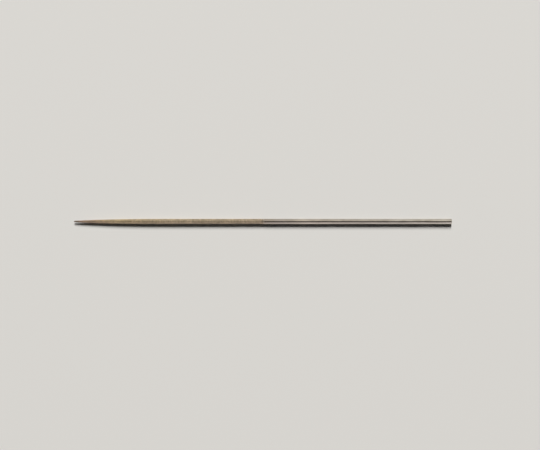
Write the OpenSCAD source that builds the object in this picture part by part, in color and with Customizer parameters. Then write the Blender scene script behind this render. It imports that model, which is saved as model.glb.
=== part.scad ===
// Round diamond needle file, lying along X with its tip towards -X.
//
// The origin is the centre of the flat end of the shank, and the axis of the
// file is the X axis. A file like this is made in three steps, and each is a
// node here: a steel blank is ground to shape, diamond grains are set on its
// working part in a single layer, and nickel is plated up round the grains
// until it holds them.

/* [File] */
// Length from the outermost grain at the tip to the flat end of the shank
overall_len = 140; // [120:1:180]
// Length of the working part, from the tip to the edge of the nickel
working_len = 70; // [60:1:90]

/* [Shank] */
// Diameter of the shank
shank_d = 2; // [1.6:0.1:4]
// Length over which the shank eases down to meet the nickel
ease_len = 0.7; // [0.1:0.1:3]
// Chamfer round the flat end of the shank
end_chamfer = 0.15; // [0.05:0.05:0.4]

/* [Working part] */
// Length of the taper of the core, from its tip to where it runs parallel
taper_len = 40; // [25:1:50]
// Diameter of the ball nose at the tip of the core
nose_d = 0.3; // [0.24:0.02:0.8]
// Length of bare nickel left between the last grains and the steel
bare_band = 0.2; // [0.1:0.1:3]

/* [Coat] */
// Edge of one diamond grain
grain = 0.12; // [0.08:0.01:0.16]
// How far each grain stands out of the nickel that holds it
grain_stand = 0.05; // [0.02:0.01:0.07]
// Thickness of the nickel under the grains, plated before they are set
strike_t = 0.02; // [0.01:0.01:0.04]
// How far the tops of the grains stay below the surface of the shank
flush_gap = 0.01; // [0.01:0.01:0.05]
// Mean distance from one grain to the next
grain_pitch = 1.1; // [1:0.1:4]

/* [Hidden] */

STEEL = [0.70, 0.68, 0.64];
NICKEL = [0.50, 0.45, 0.36];
DIAMOND = [0.72, 0.64, 0.42];

TURN_STEPS = 96;     // steps round the axis in a preview
NOSE_STEPS = 8;      // straight cuts that stand for the ball nose
TAPER_STEPS = 24;    // straight cuts that stand for the curve of the taper
TAPER_POWER = 3;     // 1 is a straight taper, and more brings the fullness nearer the tip
GOLDEN_ANGLE = 180 * (3 - sqrt(5));
GRAIN_SPIN = 77;     // turn of each grain on its seat, against the one before it

// The core is ground down so that the finished coat comes level with the shank.
coat_t = strike_t + grain;
bond_t = coat_t - grain_stand;
core_r = shank_d / 2 - coat_t - flush_gap;
nose_r = nose_d / 2;
core_tip_x = coat_t - overall_len;
taper_end_x = core_tip_x + taper_len;
nickel_end_x = working_len - overall_len;

// The ball nose ends where its surface leans as the taper does at its start.
nose_lean = atan(TAPER_POWER * (core_r - nose_r) / (taper_len - nose_r));
nose_end_x = core_tip_x + nose_r * (1 - sin(nose_lean));
nose_end_r = nose_r * cos(nose_lean);
taper_run = taper_end_x - nose_end_x;

// Share of the taper that is still to come at x, its radius there, and its lean to the tip
function taper_left(x) = max(0, (taper_end_x - x) / taper_run);
function core_radius(x) = core_r - (core_r - nose_end_r) * pow(taper_left(x), TAPER_POWER);
function core_lean(x) =
    atan(TAPER_POWER * (core_r - nose_end_r) / taper_run * pow(taper_left(x), TAPER_POWER - 1));

// Outline of the core grown outwards by "grow", as [x, radius] from the tip to the parallel part
function nose_points(grow) = [
    for (i = [0 : NOSE_STEPS])
        let (turn = (90 - nose_lean) * i / NOSE_STEPS)
        [core_tip_x + nose_r - (nose_r + grow) * cos(turn), (nose_r + grow) * sin(turn)]
];
function taper_points(grow) = [
    for (i = [1 : TAPER_STEPS])
        let (x = nose_end_x + taper_run * i / TAPER_STEPS, lean = core_lean(x))
        [x - grow * sin(lean), core_radius(x) + grow * cos(lean)]
];
function working_outline(grow) = concat(nose_points(grow), taper_points(grow));

// The shoulder that the nickel butts against slopes at 45 degrees, from the core up to the
// nickel's own surface, and this is its point "grow" above the core.
function shoulder_point(grow) = [nickel_end_x + grow - bond_t, core_r + grow];

function reversed(points) = [for (i = [len(points) - 1 : -1 : 0]) points[i]];

// Seats of the grains, each as [x, radius, lean, turn round the axis]: one on the point of the
// nose, then a spiral that gives every grain the same area of the surface
function grain_seats() =
    let (
        first_x = core_tip_x + nose_r + grain,
        last_x = shoulder_point(0)[0] - bare_band - grain
    )
    concat(
        [[core_tip_x, 0, 90, 0]],
        [
            for (x = first_x, i = 1;
                 x < last_x;
                 x = x + pow(grain_pitch, 2) / (2 * PI * core_radius(x)), i = i + 1)
                [x, core_radius(x), core_lean(x), i * GOLDEN_ANGLE]
        ]
    );

// Turns an outline of [x, radius] points round the X axis
module turned(outline) {
    rotate([0, 90, 0])
        rotate_extrude($fn = TURN_STEPS)
            polygon([for (p = outline) [p[1], p[0]]]);
}

// One grain on each seat, a square block that stands on the strike
module grains() {
    seats = grain_seats();
    for (i = [0 : len(seats) - 1])
        rotate([seats[i][3], 0, 0])
            translate([seats[i][0], 0, seats[i][1]])
                rotate([0, -seats[i][2], 0])
                    rotate([0, 0, i * GRAIN_SPIN])
                        translate([-grain / 2, -grain / 2, strike_t])
                            cube(grain);
}

// Ground from one steel rod: the tapered core, the shoulder and the shank
module steel_blank() {
    color(STEEL)
        turned(concat(
            working_outline(0),
            [
                shoulder_point(0),
                shoulder_point(bond_t),
                [nickel_end_x + ease_len, shank_d / 2],
                [-end_chamfer, shank_d / 2],
                [0, shank_d / 2 - end_chamfer],
                [0, 0]
            ]
        ));
}

// Plated over the whole working part up to the shoulder, with a pocket round each grain
module nickel_bond() {
    color(NICKEL)
        difference() {
            turned(concat(
                working_outline(bond_t),
                [shoulder_point(bond_t), shoulder_point(0)],
                reversed(working_outline(0))
            ));
            grains();
        }
}

// The abrasive: separate grains in a single layer
module diamond_grit() {
    color(DIAMOND)
        grains();
}

steel_blank();
nickel_bond();
diamond_grit();
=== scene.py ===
"""Round diamond needle file on a pale studio table, seen from straight above.

Everything is in metres. The file lies along X with its tip towards -X, and the centre of the
flat end of its shank is the origin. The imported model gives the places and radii; this script
adds the finish: a turned blank with fine marks, a nodular skin of nickel, and the dense single
layer of diamond grains.
"""
import math
import random

import bpy
from mathutils import Euler, Matrix, Vector, kdtree, noise


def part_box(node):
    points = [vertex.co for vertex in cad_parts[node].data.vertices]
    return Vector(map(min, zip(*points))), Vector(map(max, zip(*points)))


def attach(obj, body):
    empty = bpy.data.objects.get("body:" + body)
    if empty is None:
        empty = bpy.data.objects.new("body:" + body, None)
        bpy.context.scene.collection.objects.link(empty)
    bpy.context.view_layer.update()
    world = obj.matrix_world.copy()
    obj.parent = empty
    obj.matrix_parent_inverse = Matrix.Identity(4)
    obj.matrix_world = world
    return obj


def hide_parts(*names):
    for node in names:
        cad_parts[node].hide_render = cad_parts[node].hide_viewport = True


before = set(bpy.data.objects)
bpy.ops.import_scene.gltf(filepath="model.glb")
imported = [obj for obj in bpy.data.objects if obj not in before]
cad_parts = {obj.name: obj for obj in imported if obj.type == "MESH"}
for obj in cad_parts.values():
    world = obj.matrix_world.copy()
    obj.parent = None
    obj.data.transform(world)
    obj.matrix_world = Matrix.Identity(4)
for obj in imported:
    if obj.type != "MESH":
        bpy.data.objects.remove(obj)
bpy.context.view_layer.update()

MM = 0.001
SEED = 7

# ---------------------------------------------------------------- sizes from the frame

blank_low, blank_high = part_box("steel_blank")
nickel_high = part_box("nickel_bond")[1]

TIP_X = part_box("diamond_grit")[0].x
CORE_TIP_X = blank_low.x
END_X = blank_high.x
SHANK_R = blank_high.z
COAT_T = CORE_TIP_X - TIP_X
NICKEL_R = nickel_high.z
NICKEL_END_X = nickel_high.x

# Sizes that a box doesn't show
NICKEL_T = 0.09 * MM
NOSE_R = 0.15 * MM
TAPER_LEN = 40 * MM
TAPER_POWER = 3
EASE_LEN = 0.7 * MM
END_CHAMFER = 0.15 * MM
CHAMFER_ROUND = 0.03 * MM
BARE_BAND = 0.2 * MM

CORE_R = NICKEL_R - NICKEL_T
NOSE_LEAN = math.atan(TAPER_POWER * (CORE_R - NOSE_R) / (TAPER_LEN - NOSE_R))
NOSE_END_X = CORE_TIP_X + NOSE_R * (1 - math.sin(NOSE_LEAN))
NOSE_END_R = NOSE_R * math.cos(NOSE_LEAN)
TAPER_END_X = CORE_TIP_X + TAPER_LEN
TAPER_RUN = TAPER_END_X - NOSE_END_X

# Distances from the point of the core's nose to where each stretch of it ends, measured round
# the nose and then along X
NOSE_ARC = NOSE_R * (math.pi / 2 - NOSE_LEAN)
TAPER_ARC = NOSE_ARC + TAPER_RUN
WORKING_ARC = NOSE_ARC + NICKEL_END_X - NOSE_END_X


def core_radius(x):
    """Radius of the steel core at x, beyond its ball nose."""
    left = max(0.0, (TAPER_END_X - x) / TAPER_RUN)
    return CORE_R - (CORE_R - NOSE_END_R) * left ** TAPER_POWER


def core_lean(x):
    """How far the core's surface leans towards the tip at x, in radians."""
    left = max(0.0, (TAPER_END_X - x) / TAPER_RUN)
    return math.atan(TAPER_POWER * (CORE_R - NOSE_END_R) / TAPER_RUN * left ** (TAPER_POWER - 1))


def core_point(along):
    """(x, radius, lean) of the core at such a distance from the point of its nose."""
    if along < NOSE_ARC:
        turn = along / NOSE_R
        x = CORE_TIP_X + NOSE_R * (1 - math.cos(turn))
        return x, NOSE_R * math.sin(turn), math.pi / 2 - turn
    x = NOSE_END_X + along - NOSE_ARC
    return x, core_radius(x), core_lean(x)


def outline_point(along, grow):
    """(x, radius) at a height above the core."""
    x, radius, lean = core_point(along)
    return x - grow * math.sin(lean), radius + grow * math.cos(lean)


def on_surface(along, angle, grow):
    """A point at a height above the core, turned round the axis from the top."""
    x, radius = outline_point(along, grow)
    return Vector((x, -radius * math.sin(angle), radius * math.cos(angle)))


# ---------------------------------------------------------------- shader helpers

# Sockets of the Mix node when it mixes colours
MIX_SHARE, MIX_FIRST, MIX_SECOND = 0, 6, 7
MIX_RESULT = 2

# Nearly all of a noise's values lie between these
NOISE_RANGE = (0.3, 0.7)


def new_material(name):
    """A material with an empty node tree, its output and one Principled shader."""
    material = bpy.data.materials.new(name)
    material.use_nodes = True
    tree = material.node_tree
    tree.nodes.clear()
    out = tree.nodes.new("ShaderNodeOutputMaterial")
    shader = tree.nodes.new("ShaderNodeBsdfPrincipled")
    tree.links.new(shader.outputs["BSDF"], out.inputs["Surface"])
    return material, tree, shader


def add(tree, kind, **values):
    """A node with its properties and unlinked inputs set by name."""
    node = tree.nodes.new(kind)
    for key, value in values.items():
        if hasattr(node, key):
            setattr(node, key, value)
        else:
            node.inputs[key.replace("_", " ")].default_value = value
    return node


def axis_value(tree, vector, axis):
    """The X, Y or Z of a vector."""
    separate = tree.nodes.new("ShaderNodeSeparateXYZ")
    tree.links.new(vector, separate.inputs["Vector"])
    return separate.outputs[axis]


def object_coords(tree, scale):
    """Coordinates on the object, in metres times a scale for each axis."""
    coords = tree.nodes.new("ShaderNodeTexCoord")
    mapping = add(tree, "ShaderNodeMapping", Scale=scale)
    tree.links.new(coords.outputs["Object"], mapping.inputs["Vector"])
    return mapping.outputs["Vector"]


def noise_over(tree, width, detail, stretch=(1, 1, 1)):
    """Noise whose lumps have about this width, times the stretch along each axis."""
    scale = [1 / (width * s) for s in stretch]
    node = add(tree, "ShaderNodeTexNoise", Scale=1.0, Detail=detail)
    tree.links.new(object_coords(tree, scale), node.inputs["Vector"])
    return node.outputs["Fac"]


def remap(tree, value, source, target):
    """A value brought from one range to another, and held inside it."""
    node = tree.nodes.new("ShaderNodeMapRange")
    for name, number in zip(("From Min", "From Max", "To Min", "To Max"), (*source, *target)):
        node.inputs[name].default_value = number
    tree.links.new(value, node.inputs["Value"])
    return node.outputs["Result"]


def compute(tree, operation, first, second):
    """Two values put through one operation of the Math node."""
    node = add(tree, "ShaderNodeMath", operation=operation)
    tree.links.new(first, node.inputs[0])
    tree.links.new(second, node.inputs[1])
    return node.outputs[0]


def place_along(tree, start, end):
    """A value that goes from 0 to 1 between two places along the file, and stays level past them."""
    return remap(tree, axis_value(tree, object_coords(tree, (1, 1, 1)), "X"), (start, end), (0, 1))


def ramp(tree, value, stops):
    """A colour ramp, from a list of (place, colour)."""
    node = tree.nodes.new("ShaderNodeValToRGB")
    elements = node.color_ramp.elements
    while len(elements) > 1:
        elements.remove(elements[-1])
    elements[0].position, elements[0].color = stops[0][0], (*stops[0][1], 1)
    for place, colour in stops[1:]:
        elements.new(place).color = (*colour, 1)
    tree.links.new(value, node.inputs["Fac"])
    return node.outputs["Color"]


def mix(tree, share, first, second, blend="MIX"):
    """Two colours mixed, where share and each colour is a socket or a plain value."""
    node = add(tree, "ShaderNodeMix", data_type="RGBA", blend_type=blend)
    for place, value in ((MIX_SHARE, share), (MIX_FIRST, first), (MIX_SECOND, second)):
        socket = node.inputs[place]
        if isinstance(value, bpy.types.NodeSocket):
            tree.links.new(value, socket)
        elif isinstance(value, (int, float)):
            socket.default_value = value
        else:
            socket.default_value = (*value, 1)
    return node.outputs[MIX_RESULT]


def times(tree, first, second):
    """Two colours multiplied."""
    return mix(tree, 1.0, first, second, "MULTIPLY")


def tinted(tree, tone, colour, mark, between, share):
    """The tone, with none to a given share of a colour as a mark rises between two values."""
    return mix(tree, remap(tree, mark, between, (0, share)), tone, colour)


def bump(tree, height, depth, strength, normal=None):
    """A bump of a real depth, on top of another one if it is given."""
    node = add(tree, "ShaderNodeBump", Strength=strength, Distance=depth)
    tree.links.new(height, node.inputs["Height"])
    if normal:
        tree.links.new(normal, node.inputs["Normal"])
    return node.outputs["Normal"]


# ---------------------------------------------------------------- steel

STAIN_REACH = 9 * MM        # how far the plating bath has stained the shank
OVERRUN = 0.9 * MM          # how far a film of nickel has crept past its edge
FACING_PITCH = 0.06 * MM    # from one turning mark to the next on the flat end
FACING_DEPTH = 0.003 * MM
MARK_DEPTH = 0.002 * MM     # of the marks on the side of the rod
WAVE_PITCH = math.pi / 10   # from ring to ring of the wave texture at a scale of 1
FILM_ROUGHNESS = (0.45, 0.45, 0.45)
STEEL_ROUGHNESS = (0.12, 0.26)
END_NORMAL = (0.4, 0.6)     # X of the normal, on the side up to the first and on the end from the second

STEEL_TONES = [
    (0.3, (0.66, 0.605, 0.52)),
    (0.7, (0.73, 0.685, 0.605)),
]
WIPED = (0.54, 0.48, 0.40)
GROUND = (0.46, 0.41, 0.35)
SCRATCHED = (0.86, 0.82, 0.76)
SMEARED = (0.48, 0.435, 0.38)
STAINED = (0.50, 0.42, 0.33)
FILMED = (0.52, 0.45, 0.36)
FACED = (0.46, 0.42, 0.37)

# From the coat's edge to the flat end: darker next to the coat, lighter a fifth of the way along, a
# little darker again, and lightest towards the end
STEEL_ALONG = [
    (0.0, (0.66, 0.63, 0.68)),
    (0.1, (0.80, 0.78, 0.81)),
    (0.2, (1.05, 1.02, 1.02)),
    (0.42, (0.92, 0.91, 0.93)),
    (0.7, (1.03, 1.05, 1.09)),
    (0.9, (1.10, 1.12, 1.16)),
]


def by_facing(tree, on_side, on_end):
    """One value on the side of the rod, and another on its flat end and the chamfer round it."""
    coords = tree.nodes.new("ShaderNodeTexCoord")
    return remap(tree, axis_value(tree, coords.outputs["Normal"], "X"), END_NORMAL, (on_side, on_end))


def facing_marks(tree):
    """Rings left by a tool round the flat end and its chamfer, and 0 on the side of the rod."""
    marks = add(
        tree, "ShaderNodeTexWave",
        wave_type="RINGS", rings_direction="X", Scale=1.0, Distortion=1.0, Detail=3.0,
    )
    scale = WAVE_PITCH / FACING_PITCH
    tree.links.new(object_coords(tree, (scale, scale, scale)), marks.inputs["Vector"])
    return compute(tree, "MULTIPLY", marks.outputs["Fac"], by_facing(tree, 0, 1))


def steel_material():
    """Centreless-ground tool steel: fine rings round the rod, wiped lengthwise, with a faced end."""
    material, tree, shader = new_material("ground_steel")
    shader.inputs["Metallic"].default_value = 1.0
    side = by_facing(tree, 1, 0)

    # what grinding, wiping and handling did to the tone, and how it goes darker and lighter along the
    # shank
    cloud = noise_over(tree, width=9 * MM, detail=3, stretch=(1.6, 0.5, 0.5))
    tone = ramp(tree, cloud, STEEL_TONES)
    wipe = noise_over(tree, width=0.12 * MM, detail=4, stretch=(60, 1, 1))
    wipe = compute(tree, "MULTIPLY", wipe, side)
    tone = tinted(tree, tone, WIPED, wipe, between=(0.35, 0.7), share=0.25)
    rings = noise_over(tree, width=0.04 * MM, detail=3, stretch=(1, 30, 30))
    tone = tinted(tree, tone, GROUND, rings, between=(0.4, 0.65), share=0.3)
    scratches = noise_over(tree, width=0.035 * MM, detail=1, stretch=(70, 1, 1))
    scratches = compute(tree, "MULTIPLY", remap(tree, scratches, (0.66, 0.72), (0, 1)), side)
    tone = tinted(tree, tone, SCRATCHED, scratches, between=(0, 1), share=0.4)
    tone = times(tree, tone, ramp(tree, place_along(tree, NICKEL_END_X, END_X), STEEL_ALONG))
    smears = noise_over(tree, width=2.2 * MM, detail=5, stretch=(1.5, 0.5, 0.5))
    tone = tinted(tree, tone, SMEARED, smears, between=(0.4, 0.6), share=0.6)

    # what the plating left beside its edge
    patches = noise_over(tree, width=1.5 * MM, detail=4, stretch=(2.5, 1, 1))
    stain = place_along(tree, NICKEL_END_X + STAIN_REACH, NICKEL_END_X)
    stain = compute(tree, "MULTIPLY", stain, remap(tree, patches, (0.35, 0.65), (0.15, 0.6)))
    tone = mix(tree, stain, tone, STAINED)
    film = place_along(tree, NICKEL_END_X + OVERRUN, NICKEL_END_X + OVERRUN / 3)
    film = compute(tree, "MULTIPLY", film, remap(tree, patches, (0.4, 0.5), (0.25, 0.8)))
    tone = mix(tree, film, tone, FILMED)

    facing = facing_marks(tree)
    tone = tinted(tree, tone, FACED, facing, between=(0.2, 0.9), share=0.35)
    tree.links.new(tone, shader.inputs["Base Color"])

    wiped, ground = (remap(tree, mark, NOISE_RANGE, STEEL_ROUGHNESS) for mark in (wipe, rings))
    rough = mix(tree, film, mix(tree, 0.5, wiped, ground), FILM_ROUGHNESS)
    tree.links.new(rough, shader.inputs["Roughness"])

    normal = bump(tree, facing, FACING_DEPTH, strength=0.6)
    normal = bump(tree, rings, MARK_DEPTH, strength=0.9, normal=normal)
    normal = bump(tree, scratches, MARK_DEPTH, strength=0.7, normal=normal)
    normal = bump(tree, wipe, MARK_DEPTH, strength=0.7, normal=normal)
    tree.links.new(normal, shader.inputs["Normal"])
    return material


# ---------------------------------------------------------------- nickel and diamond

NICKEL_LUMP = 0.05 * MM
NICKEL_LUMP_DEPTH = 0.012 * MM
NICKEL_ROUGHNESS = (0.38, 0.62)
FACET_MARK = 0.03 * MM
FACET_ROUGHNESS = (0.08, 0.3)
DIAMOND_IOR = 2.4

# From the tip to the coat's edge: brown at the tip, and khaki from a fifth of the way
NICKEL_ALONG = [
    (0.0, (0.12, 0.085, 0.075)),
    (0.02, (0.22, 0.145, 0.115)),
    (0.035, (0.37, 0.24, 0.215)),
    (0.08, (0.52, 0.36, 0.28)),
    (0.22, (0.76, 0.60, 0.395)),
    (0.32, (0.59, 0.465, 0.32)),
    (0.55, (0.66, 0.53, 0.40)),
    (0.75, (0.56, 0.445, 0.33)),
    (1.0, (0.54, 0.43, 0.335)),
]
GRAIN_CAST = [
    (0.0, (0.30, 0.24, 0.22)),
    (0.02, (0.48, 0.35, 0.31)),
    (0.035, (0.78, 0.56, 0.52)),
    (0.1, (0.94, 0.75, 0.60)),
    (0.22, (1.06, 1.0, 0.72)),
    (0.32, (0.94, 0.875, 0.68)),
    (0.6, (1.0, 0.97, 0.88)),
    (0.8, (0.93, 0.895, 0.84)),
    (1.0, (0.88, 0.845, 0.80)),
]

# From the darkest grains to the palest
GRAIN_TONES = [
    (0.0, (0.26, 0.20, 0.12)),
    (0.35, (0.50, 0.39, 0.25)),
    (0.7, (0.61, 0.49, 0.325)),
    (1.0, (0.74, 0.66, 0.52)),
]
NICKEL_DARK = (0.26, 0.22, 0.15)
GRAIN_DARK = (0.28, 0.23, 0.15)


def mottled(tree, colour, dark, share):
    """A colour on the coat with darker specks, made lighter and darker in wider blotches."""
    specks = noise_over(tree, width=0.9 * MM, detail=4, stretch=(0.7, 1.4, 1.4))
    colour = tinted(tree, colour, dark, specks, between=(0.38, 0.62), share=share)
    blotches = noise_over(tree, width=1.5 * MM, detail=3, stretch=(0.9, 1, 1))
    return times(tree, colour, remap(tree, blotches, NOISE_RANGE, (0.85, 1.16)))


def nickel_material():
    """Matte plated nickel, with a khaki cast from the grit and a browner tip."""
    material, tree, shader = new_material("plated_nickel")
    shader.inputs["Metallic"].default_value = 1.0
    colour = ramp(tree, place_along(tree, TIP_X, NICKEL_END_X), NICKEL_ALONG)
    colour = mottled(tree, colour, NICKEL_DARK, share=0.55)
    tree.links.new(colour, shader.inputs["Base Color"])
    fine = noise_over(tree, NICKEL_LUMP, detail=4)
    tree.links.new(remap(tree, fine, NOISE_RANGE, NICKEL_ROUGHNESS), shader.inputs["Roughness"])
    tree.links.new(bump(tree, fine, NICKEL_LUMP_DEPTH, strength=0.8), shader.inputs["Normal"])
    return material


def diamond_material():
    """Yellowish synthetic diamond: each grain has its own tone, with glossy facets."""
    material, tree, shader = new_material("diamond_grains")
    shader.inputs["IOR"].default_value = DIAMOND_IOR
    tone = add(tree, "ShaderNodeAttribute", attribute_name="tone")
    colour = ramp(tree, tone.outputs["Fac"], GRAIN_TONES)
    cast = ramp(tree, place_along(tree, TIP_X, NICKEL_END_X), GRAIN_CAST)
    colour = mottled(tree, times(tree, colour, cast), GRAIN_DARK, share=0.5)
    tree.links.new(colour, shader.inputs["Base Color"])
    facets = noise_over(tree, FACET_MARK, detail=2)
    tree.links.new(remap(tree, facets, NOISE_RANGE, FACET_ROUGHNESS), shader.inputs["Roughness"])
    return material


# ---------------------------------------------------------------- meshes


def mesh_object(name, vertices, faces, material, smooth):
    """A mesh object in the scene with one material."""
    mesh = bpy.data.meshes.new(name)
    mesh.from_pydata(vertices, [], faces)
    mesh.materials.append(material)
    mesh.polygons.foreach_set("use_smooth", [smooth] * len(mesh.polygons))
    mesh.update()
    made = bpy.data.objects.new(name, mesh)
    bpy.context.scene.collection.objects.link(made)
    return made


def dress(piece, node):
    """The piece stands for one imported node, and moves with the file."""
    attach(piece, "root")
    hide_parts(node)
    return piece


def ring_faces(rings, segments):
    """Quads between rings of vertices that follow each other."""
    return [
        (
            r * segments + s,
            r * segments + (s + 1) % segments,
            (r + 1) * segments + (s + 1) % segments,
            (r + 1) * segments + s,
        )
        for r in range(rings - 1)
        for s in range(segments)
    ]


def ringed_solid(name, vertices, segments, poles, material):
    """A closed smooth solid of rings of vertices that follow each other between two poles."""
    rings = len(vertices) // segments
    faces = ring_faces(rings, segments)
    first_pole, last_pole = len(vertices), len(vertices) + 1
    last_ring = (rings - 1) * segments
    for s in range(segments):
        after = (s + 1) % segments
        faces.append((first_pole, after, s))
        faces.append((last_pole, last_ring + s, last_ring + after))
    return mesh_object(name, vertices + poles, faces, material, True)


# ---------------------------------------------------------------- the blank

BLANK_SEGMENTS = 128
CORE_RINGS = 60
SHANK_RINGS = 40
CORNER_STEPS = 4


def rounded(corner, before, after, radius):
    """Points that round a corner of an outline, between its two straight sides."""
    corner, before, after = Vector(corner), Vector(before), Vector(after)
    to_before, to_after = (before - corner).normalized(), (after - corner).normalized()
    half = to_before.angle(to_after) / 2
    reach = radius / math.tan(half)
    start, end = corner + to_before * reach, corner + to_after * reach
    return [
        tuple((1 - t) ** 2 * start + 2 * t * (1 - t) * corner + t ** 2 * end)
        for t in (i / CORNER_STEPS for i in range(CORNER_STEPS + 1))
    ]


def turned(name, outline, segments, material):
    """A closed solid turned from (x, radius) points, whose first and last points are on the axis."""
    vertices = [
        (
            x,
            radius * math.cos(2 * math.pi * s / segments),
            radius * math.sin(2 * math.pi * s / segments),
        )
        for x, radius in outline[1:-1]
        for s in range(segments)
    ]
    poles = [(outline[0][0], 0, 0), (outline[-1][0], 0, 0)]
    return ringed_solid(name, vertices, segments, poles, material)


def make_blank(material):
    """The whole blank: tapered core, shoulder, eased start of the shank, and chamfered end."""
    # the core's rings stand closer together towards its nose
    core_arc = WORKING_ARC - NICKEL_T
    outline = [outline_point(core_arc * (i / CORE_RINGS) ** 2, 0) for i in range(CORE_RINGS)]
    shoulder = (NICKEL_END_X - NICKEL_T, CORE_R)
    lip = (NICKEL_END_X, NICKEL_R)
    ease = (NICKEL_END_X + EASE_LEN, SHANK_R)
    side = (END_X - END_CHAMFER, SHANK_R)
    face = (END_X, SHANK_R - END_CHAMFER)
    outline += [shoulder, lip]
    outline += rounded(ease, lip, side, CHAMFER_ROUND)
    for i in range(1, SHANK_RINGS):
        outline.append((ease[0] + (side[0] - ease[0]) * i / SHANK_RINGS, SHANK_R))
    outline += rounded(side, ease, face, CHAMFER_ROUND)
    outline += rounded(face, side, (END_X, 0), CHAMFER_ROUND)
    outline.append((END_X, 0))
    return dress(turned("blank", outline, BLANK_SEGMENTS, material), "steel_blank")


# ---------------------------------------------------------------- the grains

GRAIN_SIZE = 0.12 * MM
GRAIN_PITCH = 0.135 * MM
GRAIN_SPREAD = 0.18         # share by which grains differ in size
GRAIN_JITTER = 0.3          # share of the pitch that a grain strays from the even spiral
TOP_SPREAD = 0.02 * MM      # how much lower than the highest a grain's top may be
GOLDEN_ANGLE = math.pi * (3 - math.sqrt(5))

# Half widths, for crystals that look as large as a cube of width 1
CUBE_HALF = 0.5
OCTAHEDRON_HALF = 0.72
CUT_CUBE_HALF = 0.56
SHAPE_SHARES = (35, 35, 30)


def cube(half):
    """Points and sides of a cube."""
    points = [(x, y, z) for x in (-half, half) for y in (-half, half) for z in (-half, half)]
    sides = [(0, 1, 3, 2), (4, 6, 7, 5), (0, 4, 5, 1), (2, 3, 7, 6), (0, 2, 6, 4), (1, 5, 7, 3)]
    return points, sides


def octahedron(half):
    """Points and sides of an octahedron."""
    points = [(half, 0, 0), (-half, 0, 0), (0, half, 0), (0, -half, 0), (0, 0, half), (0, 0, -half)]
    upper = [(0, 2, 4), (2, 1, 4), (1, 3, 4), (3, 0, 4)]
    lower = [(2, 0, 5), (1, 2, 5), (3, 1, 5), (0, 3, 5)]
    return points, upper + lower


def cut_cube(half):
    """Points and sides of a cube with all its corners cut off to the middle of its edges."""
    places = (-half, 0, half)
    points = [
        (x, y, z)
        for x in places for y in places for z in places
        if (x, y, z).count(0) == 1
    ]
    index = {p: i for i, p in enumerate(points)}
    sides = []
    for axis in range(3):
        for sign in (-half, half):
            ring = []
            for a, b in ((half, 0), (0, half), (-half, 0), (0, -half)):
                p = [a, b]
                p.insert(axis, sign)
                ring.append(index[tuple(p)])
            outward = (sign > 0) == (axis != 1)
            sides.append(tuple(ring if outward else reversed(ring)))
    for x in (-half, half):
        for y in (-half, half):
            for z in (-half, half):
                corner = [index[(0, y, z)], index[(x, 0, z)], index[(x, y, 0)]]
                outward = (x > 0) ^ (y > 0) ^ (z > 0)
                sides.append(tuple(corner if outward else reversed(corner)))
    return points, sides


def grain_seats(rng):
    """(distance along, angle) of every grain, on a spiral that gives each the same area."""
    seats = []
    along, turn = 0.0, 0
    last = WORKING_ARC - NICKEL_T - BARE_BAND - GRAIN_SIZE / 2
    stray = GRAIN_PITCH * GRAIN_JITTER
    while along < last:
        radius = max(outline_point(along, NICKEL_T)[1], GRAIN_PITCH / 2)
        angle = turn * GOLDEN_ANGLE + rng.uniform(-stray, stray) / radius
        seats.append((min(last, max(0, along + rng.uniform(-stray, stray))), angle))
        along += GRAIN_PITCH ** 2 / (2 * math.pi * radius)
        turn += 1
    return seats


def crystal(rng, shapes):
    """Points and sides of one grain, which has its own shape, size, proportions and turn."""
    points, sides = rng.choices(shapes, SHAPE_SHARES)[0]
    size = GRAIN_SIZE * rng.uniform(1 - GRAIN_SPREAD, 1 + GRAIN_SPREAD / 3)
    stretch = Vector([size * rng.uniform(1 - GRAIN_SPREAD, 1) for _ in range(3)])
    spin = Euler([rng.uniform(0, 2 * math.pi) for _ in range(3)]).to_matrix()
    spun = [spin @ Vector(p) for p in points]
    return [Vector((p.x * stretch.x, p.y * stretch.y, p.z * stretch.z)) for p in spun], sides


def make_grains(name, material, rng, seats):
    """A stretch of the single layer of grains, every one a closed crystal with a tone of its own."""
    shapes = [cube(CUBE_HALF), octahedron(OCTAHEDRON_HALF), cut_cube(CUT_CUBE_HALF)]
    vertices, faces, tones = [], [], []
    for along, angle in seats:
        body, sides = crystal(rng, shapes)
        lean = core_point(along)[2]
        upright = Matrix.Rotation(angle, 3, "X") @ Matrix.Rotation(-lean, 3, "Y")
        seat = on_surface(along, angle, 0)
        top = max(p.z for p in body)
        lift = Vector((0, 0, COAT_T - top - rng.uniform(0, TOP_SPREAD)))
        first = len(vertices)
        vertices += [seat + upright @ (p + lift) for p in body]
        faces += [tuple(first + i for i in side) for side in sides]
        tones += [rng.random()] * len(sides)
    grains = mesh_object(name, vertices, faces, material, False)
    grains.data.attributes.new("tone", "FLOAT", "FACE").data.foreach_set("value", tones)
    return dress(grains, "diamond_grit")


# ---------------------------------------------------------------- the nickel

NICKEL_SEGMENTS = 84
NICKEL_STEP = 0.08 * MM     # from one ring of the outer surface to the next
NODULE = 0.14 * MM
NODULE_HEIGHT = 0.014 * MM
COLLAR_REACH = 0.12 * MM
COLLAR_HEIGHT = 0.016 * MM


def nickel_angle(s, ring):
    """Angle of a point on a ring, where every other ring is turned by half a step."""
    return 2 * math.pi * (s + 0.5 * (ring % 2)) / NICKEL_SEGMENTS


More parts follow.
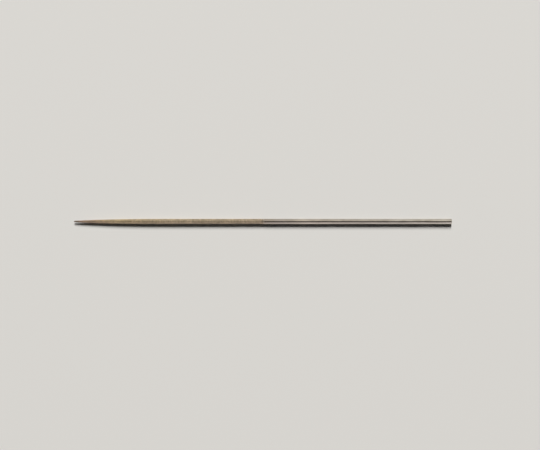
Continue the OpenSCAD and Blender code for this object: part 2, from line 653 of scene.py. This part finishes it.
def make_nickel(material, seats):
    """The plated skin: lumpy between the grains, and climbing a little round each of them."""
    grains = kdtree.KDTree(len(seats))
    for i, (along, angle) in enumerate(seats):
        grains.insert(on_surface(along, angle, NICKEL_T), i)
    grains.balance()

    # outside, from the tip to the edge, where the last ring has no lumps
    vertices = []
    last_ring = int(WORKING_ARC / NICKEL_STEP)
    for r in range(1, last_ring + 1):
        along = WORKING_ARC * r / last_ring
        for s in range(NICKEL_SEGMENTS):
            angle = nickel_angle(s, r)
            flat = on_surface(along, angle, NICKEL_T)
            near = grains.find(flat)[2]
            lump = noise.noise(flat / NODULE) * NODULE_HEIGHT
            collar = max(0.0, 1 - near / COLLAR_REACH) ** 2 * COLLAR_HEIGHT
            grow = NICKEL_T if r == last_ring else NICKEL_T + lump + collar
            vertices.append(on_surface(along, angle, grow))

    # inside, back to the tip on the core's own rings
    core_arc = WORKING_ARC - NICKEL_T
    for r in range(CORE_RINGS):
        along = core_arc * (1 - r / CORE_RINGS) ** 2
        for s in range(NICKEL_SEGMENTS):
            vertices.append(on_surface(along, nickel_angle(s, last_ring), 0))

    poles = [on_surface(0, 0, NICKEL_T), on_surface(0, 0, 0)]
    skin = ringed_solid("nickel_skin", vertices, NICKEL_SEGMENTS, poles, material)
    return dress(skin, "nickel_bond")


# ---------------------------------------------------------------- stage and light

FLOOR_SIZE = 4.0
FLOOR_COLOUR = (0.702, 0.694, 0.675)
KEY_COLOUR = (1.0, 0.985, 0.96)
KEY_ELEVATION = math.radians(44.7)
KEY_DISTANCE = 10.0
KEY_WIDTH = math.radians(8)       # as seen from the file, along it
KEY_HEIGHT = math.radians(22)
KEY_STRENGTH = 4.35               # light that falls on a surface that faces the lamp, in W/m2
AMBIENT = (0.032, 0.032, 0.032)
SURROUND = (0.66, 0.64, 0.61)

# What reflections see, from the horizon in front of the file over the top to the one behind it.
# The dark gap is overhead and a little to the front.
ROOM = [
    (0.0, (0.74, 0.70, 0.71)),
    (0.26, (0.83, 0.78, 0.80)),
    (0.29, (0.04, 0.03, 0.025)),
    (0.55, (0.04, 0.03, 0.025)),
    (0.60, (0.75, 0.73, 0.68)),
    (1.0, (0.68, 0.66, 0.62)),
]


def make_floor():
    """A plain pale table just under the shank."""
    material, _, shader = new_material("floor")
    shader.inputs["Base Color"].default_value = (*FLOOR_COLOUR, 1)
    shader.inputs["Roughness"].default_value = 1.0
    shader.inputs["Specular IOR Level"].default_value = 0.0
    half, z = FLOOR_SIZE / 2, -SHANK_R
    corners = [(-half, -half, z), (half, -half, z), (half, half, z), (-half, half, z)]
    mesh_object("floor", corners, [(0, 1, 2, 3)], material, False)


def make_key():
    """One tall soft box, far off behind the file."""
    lamp = bpy.data.lights.new("key", "AREA")
    lamp.shape = "RECTANGLE"
    lamp.size = 2 * KEY_DISTANCE * math.tan(KEY_WIDTH / 2)
    lamp.size_y = 2 * KEY_DISTANCE * math.tan(KEY_HEIGHT / 2)
    lamp.energy = KEY_STRENGTH * math.pi * KEY_DISTANCE ** 2
    lamp.color = KEY_COLOUR
    key = bpy.data.objects.new("key", lamp)
    bpy.context.scene.collection.objects.link(key)
    towards = Vector((0, math.cos(KEY_ELEVATION), math.sin(KEY_ELEVATION)))
    key.location = towards * KEY_DISTANCE
    key.rotation_euler = towards.to_track_quat("Z", "Y").to_euler()
    key.visible_glossy = False
    key.visible_camera = False


def make_world():
    """A weak even fill, a plain surround for the camera, and a room for reflections."""
    world = bpy.data.worlds.new("studio")
    bpy.context.scene.world = world
    world.use_nodes = True
    tree = world.node_tree
    tree.nodes.clear()

    # angle from straight up, in the plane across the file, from the front horizon to the back one
    towards = tree.nodes.new("ShaderNodeTexCoord").outputs["Generated"]
    lean = compute(tree, "ARCTAN2", axis_value(tree, towards, "Y"), axis_value(tree, towards, "Z"))
    room = ramp(tree, remap(tree, lean, (-math.pi / 2, math.pi / 2), (0, 1)), ROOM)

    # the room shows in reflections, but the file doesn't throw its light on to the table
    path = tree.nodes.new("ShaderNodeLightPath").outputs
    in_view = remap(tree, path["Diffuse Depth"], (0, 1), (1, 0))
    reflected = compute(tree, "MULTIPLY", path["Is Glossy Ray"], in_view)
    shown = compute(tree, "MAXIMUM", path["Is Camera Ray"], reflected)
    shown = compute(tree, "MAXIMUM", shown, path["Is Transmission Ray"])
    seen = mix(tree, path["Is Camera Ray"], room, SURROUND)
    background = tree.nodes.new("ShaderNodeBackground")
    tree.links.new(mix(tree, shown, AMBIENT, seen), background.inputs["Color"])
    out = tree.nodes.new("ShaderNodeOutputWorld")
    tree.links.new(background.outputs["Background"], out.inputs["Surface"])


# The photograph's frame is 540 by 450 and looks straight down.
PHOTO_WIDTH = 540
PHOTO_TIP_X, PHOTO_END_X = 74.0, 451.7
PHOTO_CENTRE_X, PHOTO_CENTRE_Y = 270.0, 225.0
PHOTO_AXIS_Y = 221.5
LENS = 85.0
SENSOR = 36.0


def make_camera():
    """Straight above the file, framed so that its two ends fall where they do in the photograph."""
    metres_per_pixel = (END_X - TIP_X) / (PHOTO_END_X - PHOTO_TIP_X)
    view_width = PHOTO_WIDTH * metres_per_pixel
    data = bpy.data.cameras.new("camera")
    data.lens = LENS
    data.sensor_width = SENSOR
    camera = bpy.data.objects.new("camera", data)
    bpy.context.scene.collection.objects.link(camera)
    camera.location = (
        TIP_X + (PHOTO_CENTRE_X - PHOTO_TIP_X) * metres_per_pixel,
        -(PHOTO_CENTRE_Y - PHOTO_AXIS_Y) * metres_per_pixel,
        view_width * LENS / SENSOR,
    )
    bpy.context.scene.camera = camera


# ---------------------------------------------------------------- the scene

rng = random.Random(SEED)
seats = grain_seats(rng)
on_taper = [seat for seat in seats if seat[0] < TAPER_ARC]
behind_taper = [seat for seat in seats if seat[0] >= TAPER_ARC]
diamond = diamond_material()

make_blank(steel_material())
make_nickel(nickel_material(), seats)
make_grains("grains_on_taper", diamond, rng, on_taper)
make_grains("grains_behind_taper", diamond, rng, behind_taper)

make_floor()
make_key()
make_world()
make_camera()
bpy.context.scene.view_settings.view_transform = "Standard"
